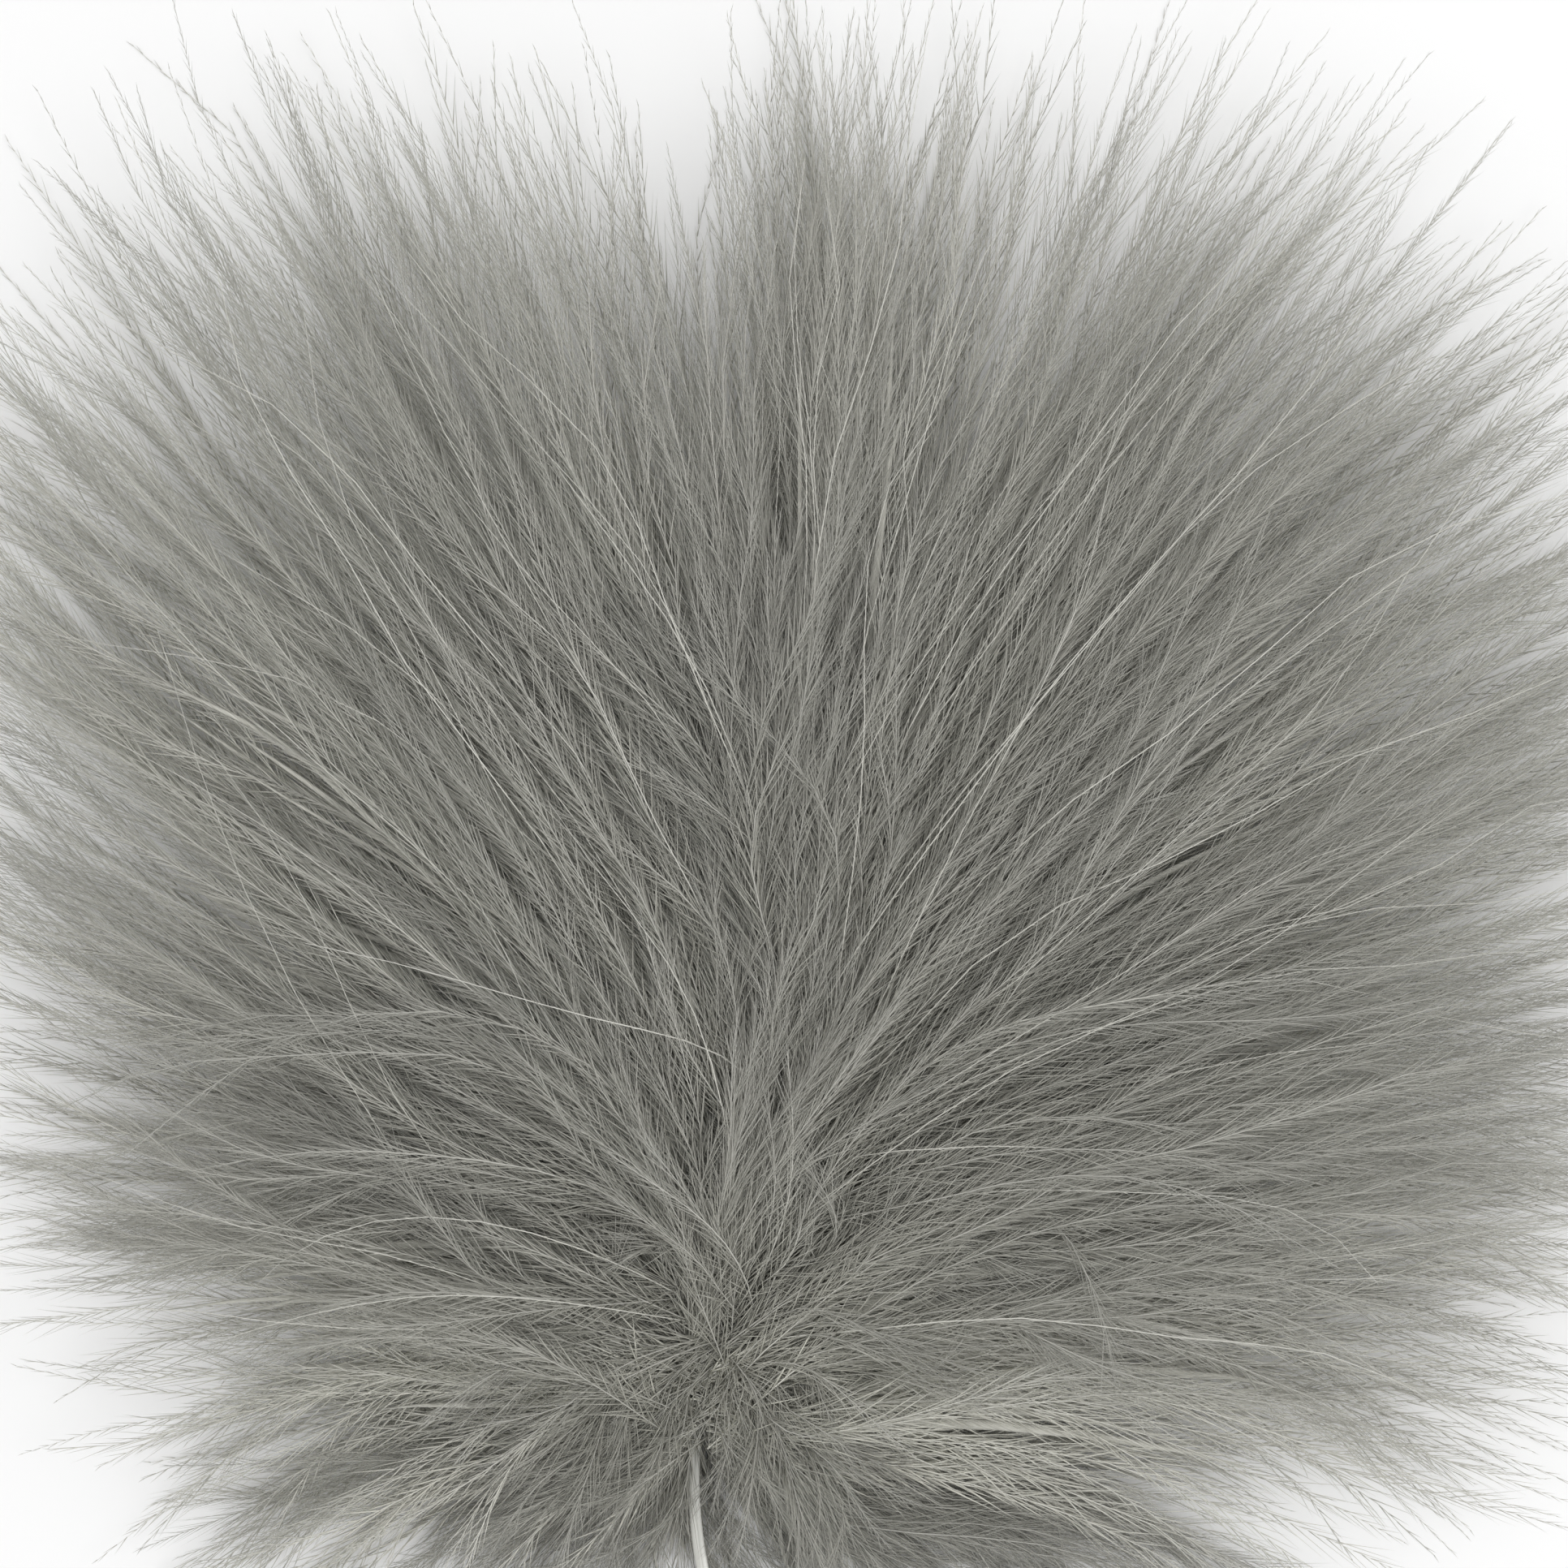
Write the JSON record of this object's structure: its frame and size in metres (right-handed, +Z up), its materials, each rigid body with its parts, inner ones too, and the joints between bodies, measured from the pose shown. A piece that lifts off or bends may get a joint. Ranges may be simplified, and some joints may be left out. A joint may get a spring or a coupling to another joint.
{
  "type": "marabou feather",
  "caption": "Soft grey down feather with a short bare quill and a wide, flattish plume of loose, fluffy locks, for trimming, padding or fly tying.",
  "frame": {"origin": "centre of the feather's footprint on the table it lies on", "axes": "+Y along the feather, towards the tip of the plume; +Z up, away from the table; +X to the right of someone who looks down on it"},
  "size_m": [0.1138, 0.1164, 0.0158],
  "materials": {
    "feather_down": "soft matt grey down"
  },
  "bodies": {
    "root": {"marabou_feather": "feather_down"}
  },
  "joints": []
}
